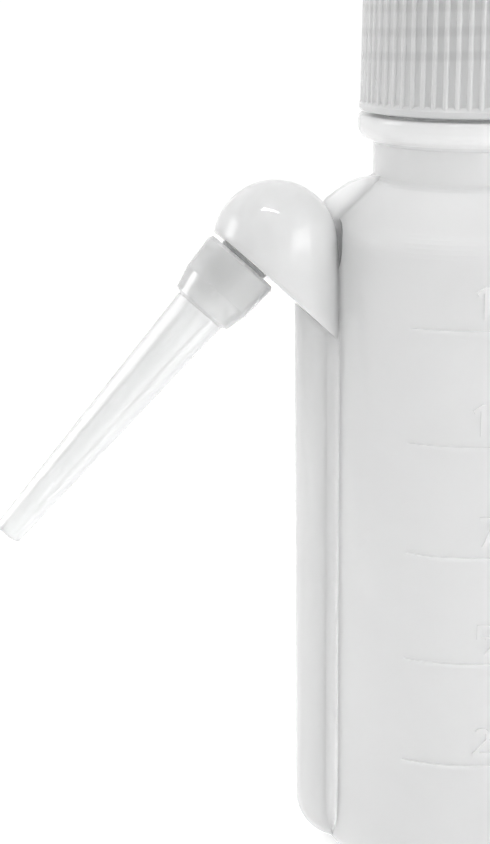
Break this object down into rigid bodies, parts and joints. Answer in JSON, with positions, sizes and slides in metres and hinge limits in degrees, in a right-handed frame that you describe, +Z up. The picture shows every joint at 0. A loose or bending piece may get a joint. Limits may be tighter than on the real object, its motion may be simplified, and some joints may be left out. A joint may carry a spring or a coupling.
{
  "type": "wash bottle",
  "caption": "Squeezable laboratory wash bottle with a moulded outside draw tube, raised volume marks, a ribbed screw cap and a screw-on jet nozzle that points down and outwards.",
  "frame": {"origin": "on the bottle's upright axis, at the level of the foot ring it stands on", "axes": "+Z up the bottle's axis to the cap, -X towards the draw tube and the jet, -Y towards the panel of volume marks"},
  "size_m": [0.0954, 0.0452, 0.1401],
  "materials": {
    "bottle": "natural translucent low-density polyethylene, satin",
    "cap": "natural translucent polyethylene, fine-ribbed satin skirt",
    "liner": "white polyethylene foam disc",
    "jet": "natural translucent polyethylene, smooth",
    "seal": "soft white polyethylene ring"
  },
  "bodies": {
    "bottle": {"bottle_body": "bottle"},
    "liner": {"cap_liner": "liner"},
    "cap": {"screw_cap": "cap"},
    "seal": {"nozzle_seal": "seal"},
    "jet": {"jet_nozzle": "jet"}
  },
  "joints": [
    {"name": "cap_lift", "type": "slide", "parent": "bottle", "child": "liner", "axis": [0, 0, 1], "range_m": [0, 0.01156]},
    {"name": "cap_turn", "type": "hinge", "parent": "liner", "child": "cap", "pos_m": [0, 0, 0.1191], "axis": [0, 0, 1], "range_deg": [0, 1260]},
    {"name": "nozzle_lift", "type": "slide", "parent": "bottle", "child": "seal", "axis": [-0.6871, 0, -0.7266], "range_m": [0, 0.0045]},
    {"name": "nozzle_turn", "type": "hinge", "parent": "seal", "child": "jet", "pos_m": [-0.03494, 0, 0.09855], "axis": [-0.6871, 0, -0.7266], "range_deg": [0, 810.5]}
  ],
  "couplings": [
    {"joint": "cap_lift", "follows": "cap_turn", "m_per_rad": 0.00052521},
    {"joint": "nozzle_turn", "follows": "nozzle_lift", "rad_per_m": 3141.6}
  ]
}
